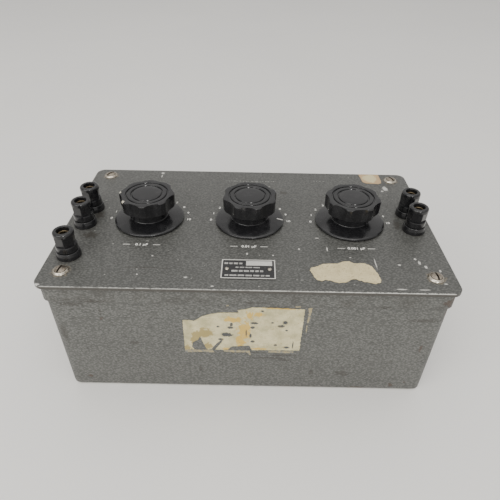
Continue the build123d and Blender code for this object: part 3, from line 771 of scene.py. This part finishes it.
def makeKnob(decade):
    line = softened(knob["outline"])
    mesh = lathe(line, knob["steps"])
    turn = math.radians(indexAngle[decade])
    at = dials[decade]
    glints = []
    # two painted glints on the top edge of the tenths knob, at two lobe tips
    if decade == "tenths":
        for bearing, radius, height in zip(knob["glintBearings"], knob["glintRadii"], knob["glintHeights"]):
            a = math.radians(bearing)
            glints.append(((at.x + radius * mm * math.cos(a), at.y + radius * mm * math.sin(a),
                            panelTop + height * mm), (1.1 * mm, 1.2 * mm, 1.2 * mm)))
    material = blackMoulding("knobMoulding_" + decade, glints)
    mesh = throughTree(mesh, scallopTree, {"Count": knob["lobes"], "Turn": turn, "Soft": knob["soft"] * mm,
                                           "Valley Radius": knob["valley"] * mm, "Material": material,
                                           "Scallop Radius": knob["scallop"] * mm,
                                           "From Height": knob["gripFrom"] * mm})
    bore = [Vector(p) for p in knob["bore"]]
    bm = bmesh.new()
    bm.from_mesh(mesh)
    bm.from_mesh(lathe(bore, knob["steps"]))
    bmesh.ops.remove_doubles(bm, verts=bm.verts, dist=1e-6)
    bmesh.ops.recalc_face_normals(bm, faces=bm.faces)
    bm.to_mesh(mesh)
    bm.free()
    mesh.transform(Matrix.Translation((at.x, at.y, panelTop)))
    finished("knob_" + decade + "_moulding", mesh, material, "switch_" + decade,
             ["knob_" + decade], 32)


indexLine = {"inner": 18.3, "outer": 22.1, "width": 0.75, "steps": 8, "proud": 0.05, "thick": 0.12,
             "skirtTop": (16.6, 3.3), "skirtRim": (22.0, 2.15)}


def makeIndexLine(decade):
    line = indexLine
    (topRadius, topHeight), (rimRadius, rimHeight) = line["skirtTop"], line["skirtRim"]
    slope = (rimHeight - topHeight) / (rimRadius - topRadius)
    bm = bmesh.new()
    steps = line["steps"]
    rows = []
    for i in range(steps + 1):
        r = line["inner"] + (line["outer"] - line["inner"]) * i / steps
        z = topHeight + slope * (r - topRadius) + line["proud"]
        rows.append([bm.verts.new((r * mm, s * line["width"] * mm / 2, z * mm)) for s in (-1, 1)])
    for a, b in zip(rows, rows[1:]):
        bm.faces.new((a[0], b[0], b[1], a[1]))
    top = bmesh.ops.extrude_face_region(bm, geom=bm.faces[:])
    low = [g for g in top["geom"] if isinstance(g, bmesh.types.BMVert)]
    bmesh.ops.translate(bm, verts=low, vec=(0, 0, -line["thick"] * mm))
    bmesh.ops.recalc_face_normals(bm, faces=bm.faces)
    mesh = meshOf(bm, "indexLine")
    at = dials[decade]
    mesh.transform(Matrix.Rotation(math.radians(indexAngle[decade]), 4, "Z"))
    mesh.transform(Matrix.Translation((at.x, at.y, panelTop)))
    finished("index_line_" + decade, mesh, palette["legend"], "switch_" + decade)


for decade in decades:
    makeKnob(decade)
    makeIndexLine(decade)
print("knobs done")

# binding posts
cap = {"steps": 144, "apothem": 5.15, "flare": 0.042, "soft": 0.35, "flatsFrom": 8.75, "flatsTo": 15.4,
       "turn": 12.0,
       "outline": [(3.4, 4.6, 0.15), (6.05, 4.6, 0.2), (6.3, 4.95, 0.3), (6.3, 8.2, 0.35),
                   (6.12, 8.7, 0.12), (6.12, 8.8, 0), (6.12, 9.4, 0), (6.12, 11.0, 0), (6.12, 13.0, 0),
                   (6.12, 14.6, 0), (6.12, 15.3, 0), (6.15, 15.5, 0), (6.15, 17.3, 0.6), (5.5, 18.1, 0.5),
                   (3.95, 18.1, 0.25), (3.7, 17.8, 0.15), (3.7, 15.6, 0), (3.95, 15.6, 0), (3.95, 5.8, 0),
                   (3.4, 5.8, 0)]}
base = {"steps": 96, "spigot": 4.5, "through": 2.4,
        "outline": [(3.15, 0.0, 0), (7.3, 0.0, 0.15), (7.3, 2.1, 0.5), (7.0, 3.1, 0.7), (6.65, 4.4, 0.35),
                    (3.5, 4.4, 0.2), (3.15, 4.3, 0)]}
stud = {"steps": 48, "pitch": 0.794, "crest": 3.15, "root": 2.86, "top": 16.2, "bottom": -12.0, "bore": 2.1}


def makeCap(name):
    mesh = lathe(softened(cap["outline"], True), cap["steps"], True)
    mesh = throughTree(mesh, flatsTree, {"Count": 6, "Turn": math.radians(cap["turn"]),
                                         "Soft": cap["soft"] * mm,
                                         "Apothem": cap["apothem"] * mm, "Flare": cap["flare"],
                                         "From Height": cap["flatsFrom"] * mm,
                                         "To Height": cap["flatsTo"] * mm,
                                         "Material": palette["black"]})
    mesh.transform(Matrix.Translation((posts[name].x, posts[name].y, panelTop)))
    finished("cap_" + name + "_moulding", mesh, palette["black"], "cap_" + name,
             ["post_cap_" + name], 34)


def makeBases():
    foot = lathe(softened(base["outline"], True), base["steps"], True)
    inner, low = base["outline"][0][0], -base["through"]
    corners = [Vector(p) for p in ((inner, 0), (inner, low), (base["spigot"], low), (base["spigot"], 0))]
    spigot = lathe(corners, base["steps"], True)
    bm = bmesh.new()
    bm.from_mesh(foot)
    bm.from_mesh(spigot)
    mesh = meshOf(bm, "base")
    places = [((p.x, p.y, panelTop), 0.0) for p in posts.values()]
    finished("post_bases_moulding", copiesOf(mesh, places, palette["black"]), palette["black"], "case",
             ["post_bases"], 34)


def makeStuds():
    corners = [(stud["bore"], stud["top"] - 0.25, 0), (stud["bore"] + 0.25, stud["top"], 0),
               (stud["root"], stud["top"], 0)]
    z = stud["top"] - 0.3
    while z > stud["bottom"] + stud["pitch"]:
        corners += [(stud["crest"], z - stud["pitch"] * 0.40, 0),
                    (stud["crest"], z - stud["pitch"] * 0.55, 0),
                    (stud["root"], z - stud["pitch"] * 0.95, 0)]
        z -= stud["pitch"]
    corners += [(stud["root"], stud["bottom"], 0), (0, stud["bottom"], 0), (0, 0.2, 0),
                (stud["bore"], 0.2, 0)]
    line = [Vector(c[:2]) for c in corners]
    bm = bmesh.new()
    outer = lathe(line[:-2], stud["steps"])
    bm.from_mesh(outer)
    bm.from_mesh(lathe([line[-2], line[-1], line[0]], stud["steps"]))
    bmesh.ops.remove_doubles(bm, verts=bm.verts, dist=1e-6)
    bmesh.ops.recalc_face_normals(bm, faces=bm.faces)
    mesh = meshOf(bm, "stud")
    places = [((p.x, p.y, panelTop), 0.3 * i) for i, p in enumerate(posts.values())]
    finished("post_studs_threaded", copiesOf(mesh, places, palette["brass"]), palette["brass"], "case",
             ["post_studs"], 30)


for name in postNames:
    makeCap(name)
makeBases()
makeStuds()
print("binding posts done")

# panel screws and their washers
def makeScrews():
    turned = lathe(softened(screw["outline"]), 64)
    cut = throughTree(turned, slotTree(),
                      {"Slot Width": screw["slotWidth"] * mm, "Material": palette["head"],
                                           "Slot Floor": screw["slotFloor"] * mm})
    centres = [(low + high) / 2 for low, high in cornerBoxes()]
    places = [((c.x, c.y, panelTop), math.radians(t)) for c, t in zip(centres, screw["turns"])]
    finished("panel_screws_slotted", copiesOf(cut, places, palette["head"]), palette["head"], "case",
             ["panel_screws"], 30)
    ring = lathe(softened(washer["outline"], True), 72, True)
    flat = [((c.x, c.y, panelTop), 0.0) for c in centres]
    finished("cup_washers_formed", copiesOf(ring, flat, palette["cup"]), palette["cup"], "case",
             ["cup_washers"], 40)


makeScrews()
print("screws done")

# dial numerals, legends and plate lines
dialText = {"radius": 26.0, "size": 3.0, "step": 18.0, "legendSize": 3.1, "legendY": -29.4, "thick": 0.03,
            "legends": {"tenths": "0.1 µF", "hundredths": "0.01 µF", "thousandths": "0.001 µF"}}


def textMesh(words, size, centre, thick):
    curve = bpy.data.curves.new("words", "FONT")
    curve.body = words
    curve.size = size * mm
    curve.align_x = "CENTER"
    curve.align_y = "CENTER"
    curve.extrude = thick * mm
    curve.offset = 0.00006
    curve.resolution_u = 3
    mesh = baked(shown("words", curve))
    mesh.transform(Matrix.Translation((centre[0] * mm, centre[1] * mm, panelTop + (thick + 0.01) * mm)))
    return mesh


def bar(bm, x, y, width, depth, low, high):
    box = bmesh.ops.create_cube(bm, size=1.0)
    for v in box["verts"]:
        v.co = Vector(((x + v.co.x * width) * mm, (y + v.co.y * depth) * mm,
                       (low + high) / 2 * mm + v.co.z * (high - low) * mm))


def makeNumerals():
    for decade in decades:
        bm = bmesh.new()
        at = dials[decade] / mm
        for value in range(11):
            a = math.radians(180 - value * dialText["step"])
            x, y = at.x + dialText["radius"] * math.cos(a), at.y + dialText["radius"] * math.sin(a)
            bm.from_mesh(textMesh(str(value), dialText["size"], (x, y), dialText["thick"]))
        bm.from_mesh(textMesh(dialText["legends"][decade], dialText["legendSize"],
                              (at.x, dialText["legendY"]),
                              dialText["thick"]))
        for side in (-1, 1):
            bar(bm, at.x + side * 9.4, dialText["legendY"], 4.6, 0.32, panelTop / mm + 0.005,
                panelTop / mm + 0.06)
        mesh = meshOf(bm, "numerals")
        finished("dial_numerals_" + decade, mesh, palette["legend"], "case", (), 30)


header = {"seed": 9, "rows": [(54.5, 0.9, (-19.0, 18.0)), (56.6, 0.8, (48.0, 58.0))], "word": (0.5, 1.9),
          "gap": 0.9}


# all that is left of a line of print above the middle dial
def makeHeader():
    pick = random.Random(header["seed"])
    bm = bmesh.new()
    for y, tall, (start, end) in header["rows"]:
        x = start
        while x < end - 0.5:
            width = min(pick.uniform(*header["word"]), end - x)
            low = pick.uniform(-0.25, 0.25)
            bar(bm, x + width / 2, y + low, width, tall * pick.uniform(0.35, 1.0), panelTop / mm + 0.005,
                panelTop / mm + 0.03)
            x += width + header["gap"] * pick.uniform(0.6, 1.8)
    mesh = meshOf(bm, "header")
    finished("worn_header_marks", mesh, palette["faded"], "case", (), 30)


plateLines = {"seed": 4, "rows": [(-47.0, 1.5, (-14.2, -3.6)), (-50.6, 0.9, (-7.5, 7.5)),
                                  (-53.9, 1.5, (-9.8, 9.8)),
                                  (-57.9, 1.2, (-13.6, 13.6))], "word": (1.6, 4.2), "gap": 0.7}


def makePlateLines():
    pick = random.Random(plateLines["seed"])
    bm = bmesh.new()
    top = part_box("data_plate")[1].z / mm
    for y, tall, (start, end) in plateLines["rows"]:
        x = start
        while x < end - 1.0:
            width = min(pick.uniform(*plateLines["word"]), end - x)
            bar(bm, x + width / 2, y, width, tall, top - 0.16, top - 0.04)
            x += width + plateLines["gap"]
    mesh = meshOf(bm, "plateLines")
    finished("data_plate_lines", mesh, palette["plateLine"], "case", (), 30)


palette["plateLine"] = wornMetal("plateLine", (0.60, 0.59, 0.56), (0.30, 0.29, 0.28), (0.06, 0.06, 0.06),
                                 (0.3, 0.5), 900, 0.6)
makeNumerals()
makeHeader()
makePlateLines()
print("legends done")

# stickers: torn paper lying on the enamel
def tornSheet(name, outline, flatTo, material, seed, ragged=0.25, pitch=0.9, thick=0.10, curl=0.12,
              grid=2.2):
    points = [Vector(p) for p in outline]
    edge = []
    for a, b in zip(points, points[1:] + points[:1]):
        count = max(1, round((b - a).length / pitch))
        side = Vector((b - a).yx).normalized()
        for k in range(count):
            p = a.lerp(b, k / count)
            broad = noise.noise(Vector((p.x * 0.9, p.y * 0.9, seed)))
            fine = noise.noise(Vector((p.x * 2.6, p.y * 2.6, seed)))
            push = broad + 0.6 * fine
            edge.append(p + Vector((side.x, -side.y)) * push * ragged)
    low = Vector((min(p.x for p in edge), min(p.y for p in edge)))
    high = Vector((max(p.x for p in edge), max(p.y for p in edge)))
    inside = []
    rows, columns = int((high.y - low.y) / grid), int((high.x - low.x) / grid)
    for j in range(1, rows + 1):
        for i in range(1, columns + 1):
            inside.append(Vector((low.x + i * grid + 0.5 * (j % 2), low.y + j * grid)))
    n = len(edge)
    links = [(k, (k + 1) % n) for k in range(n)]
    verts, _, faces, *_ = geometry.delaunay_2d_cdt(edge + inside, links, [], 2, 1e-5)
    bm = bmesh.new()
    made = []
    for p in verts:
        nearest = min((p - e).length for e in edge)
        lift = 0.5 + 0.5 * noise.noise(Vector((p.x * 0.35, p.y * 0.35, seed + 3)))
        height = thick + curl * lift * max(0.0, 1 - nearest / 2.5)
        made.append(bm.verts.new(flatTo(p.x, p.y, height)))
    for face in faces:
        bm.faces.new([made[k] for k in face])
    skin = bmesh.ops.extrude_face_region(bm, geom=bm.faces[:])
    for item in skin["geom"]:
        if isinstance(item, bmesh.types.BMVert):
            item.co = item.co + (Vector(flatTo(0, 0, -thick * 0.8)) - Vector(flatTo(0, 0, 0)))
    bmesh.ops.recalc_face_normals(bm, faces=bm.faces)
    mesh = meshOf(bm, name)
    finished(name, mesh, material, "case", (), 50)


def onPanel(x, y, height):
    return x * mm, y * mm, panelTop + height * mm


wallFoot = 66.35
wallLean = 0.8 / 89.7


def onFront(x, z, height):
    return x * mm, -(wallFoot + wallLean * z + height) * mm, (z + labelLift) * mm


creamOutline = [(36.1, -51.8), (36.9, -49.2), (40.5, -48.1), (44.2, -45.6), (50.5, -44.9), (53.2, -44.8),
                (56.2, -43.1), (60.5, -42.6), (63.0, -44.4), (69.2, -44.0), (73.0, -46.8), (75.2, -53.0),
                (76.2, -59.2), (75.6, -61.2), (72.4, -62.7), (65.5, -60.8), (61.8, -58.7), (59.2, -59.3),
                (56.0, -61.8), (51.8, -62.4), (44.2, -59.9), (41.8, -61.1), (39.2, -59.9), (37.4, -55.6)]
tanOutline = [(85.2, 69.2), (100.7, 69.2), (100.9, 58.0), (100.2, 55.2), (98.0, 53.9), (89.0, 54.6),
              (86.4, 56.6)]
labelOutline = [(-38.9, 36.6), (-38.6, 63.0), (-35.0, 63.2), (-32.0, 62.4), (-29.4, 64.2), (-26.6, 66.6),
                (-21.8, 68.6), (-15.8, 69.8), (-10.0, 70.0), (-5.2, 70.2), (-5.8, 72.0), (-2.0, 72.8),
                (1.2, 74.0), (3.4, 74.6), (18.0, 74.3), (33.4, 73.7), (33.1, 55.0), (32.8, 37.7),
                (25.5, 37.5), (12.0, 37.4), (3.2, 37.2), (1.3, 41.4), (-4.0, 40.9), (-9.6, 40.2),
                (-12.2, 37.2), (-17.5, 37.0), (-20.0, 37.0), (-16.0, 43.6), (-14.9, 46.4), (-16.2, 46.2),
                (-21.0, 39.6), (-22.6, 37.1), (-25.2, 37.3), (-26.6, 41.6), (-28.9, 48.9), (-30.2, 46.0),
                (-33.6, 43.6), (-34.4, 39.0), (-33.0, 37.1)]
glueStrips = [[(-38.8, 36.8), (-30.0, 36.4), (-21.5, 36.8), (-20.6, 33.9), (-28.0, 34.6), (-38.9, 34.0)],
              [(-14.6, 36.9), (-2.0, 36.4), (1.4, 36.6), (2.8, 32.4), (2.0, 32.2), (-0.4, 34.8),
               (-14.4, 34.9)],
              [(13.4, 36.8), (23.0, 36.6), (29.0, 37.0), (29.2, 35.4), (22.0, 34.6), (13.6, 35.0)],
              [(35.2, 74.6), (37.6, 74.8), (37.2, 70.0), (36.6, 62.4), (35.4, 62.6), (35.9, 70.6)],
              [(27.6, 76.4), (30.6, 76.6), (30.8, 75.2), (27.8, 75.0)],
              [(35.3, 60.0), (36.2, 60.2), (36.0, 54.0), (35.5, 54.2)],
              [(-12.4, 75.9), (-11.0, 76.0), (-11.1, 75.0), (-12.2, 75.0)]]

tanMiddle = (93.0 * mm, 62.4 * mm, panelTop)
tornSheet("cream_sticker", creamOutline, onPanel, palette["cream"], 2.0, 0.45)
tornSheet("tan_sticker", tanOutline, onPanel, tanPaper(tanMiddle), 5.0, 0.10)
tornSheet("front_label", labelOutline, onFront, palette["label"], 8.0, 0.35)
for i, strip in enumerate(glueStrips):
    tornSheet("glue_residue_%d" % (i + 1), strip, onFront, palette["glue"], 11.0 + i, 0.5, 0.8, 0.05, 0.02,
              1.6)
print("stickers done")

# floor, light and camera
stageFloor = {"size": 5.0, "colour": (0.87, 0.86, 0.83)}


def makeFloor():
    mesh = bpy.data.meshes.new("floor")
    half = stageFloor["size"]
    mesh.from_pydata([(-half, -half, 0), (half, -half, 0), (half, half, 0), (-half, half, 0)], [],
                     [(0, 1, 2, 3)])
    material, tree, shader, place = newMaterial("paleFloor", Roughness=0.65)
    tone = noiseAt(tree, place, 2.0, 3.0)
    tree.links.new(mixed(tree, span(tree, tone, 0.3, 0.7), stageFloor["colour"],
                         tuple(c * 0.97 for c in stageFloor["colour"])), shader.inputs["Base Color"])
    mesh.materials.append(material)
    shown("floor", mesh)


def areaLight(name, at, target, size, power, colour=(1, 1, 1)):
    light = bpy.data.lights.new(name, "AREA")
    light.shape = "RECTANGLE"
    light.size, light.size_y = size
    light.energy = power
    light.color = colour
    holder = shown(name, light)
    holder.location = at
    holder.rotation_euler = (Vector(target) - Vector(at)).to_track_quat("-Z", "Y").to_euler()


def makeLight():
    world = bpy.data.worlds.new("studio")
    bpy.context.scene.world = world
    world.use_nodes = True
    background = world.node_tree.nodes["Background"]
    background.inputs["Color"].default_value = (1.0, 0.985, 0.965, 1)
    background.inputs["Strength"].default_value = 0.78
    areaLight("overhead", (0.15, 0.35, 1.6), (0, 0, 0.05), (1.8, 1.2), 5, (1.0, 0.985, 0.96))
    areaLight("frontOverhead", (0.0, -0.75, 1.35), (0, -0.25, 0), (1.2, 0.8), 8, (1.0, 0.985, 0.96))
    areaLight("frontBox", (-1.0, -1.0, 1.0), (0, 0, 0.05), (1.2, 0.9), 10, (1.0, 0.985, 0.96))
    areaLight("lamp", (0.25, -1.25, 0.62), (0, 0, 0.08), (0.22, 0.30), 3.2, (1.0, 0.99, 0.97))


camera = {"place": (1.32, -260.93, 264.33), "pitch": 37.068, "yaw": -0.148, "roll": -1.013,
          "focal": 462.78 / 500}


def makeCamera():
    a, b, c = (math.radians(camera[k]) for k in ("pitch", "yaw", "roll"))
    ahead = Vector((math.sin(b) * math.cos(a), math.cos(b) * math.cos(a), -math.sin(a)))
    right = Vector((math.cos(b), -math.sin(b), 0))
    down = ahead.cross(right)
    side = math.cos(c) * right + math.sin(c) * down
    below = -math.sin(c) * right + math.cos(c) * down
    lens = bpy.data.cameras.new("camera")
    lens.sensor_width = 36.0
    lens.lens = camera["focal"] * 36.0
    lens.clip_start = 0.01
    eye = shown("camera", lens)
    turn = Matrix((side, -below, -ahead)).transposed().to_4x4()
    eye.matrix_world = Matrix.Translation(Vector(camera["place"]) * mm) @ turn
    bpy.context.scene.camera = eye


makeFloor()
makeLight()
makeCamera()
print("stage done")

bpy.context.view_layer.update()
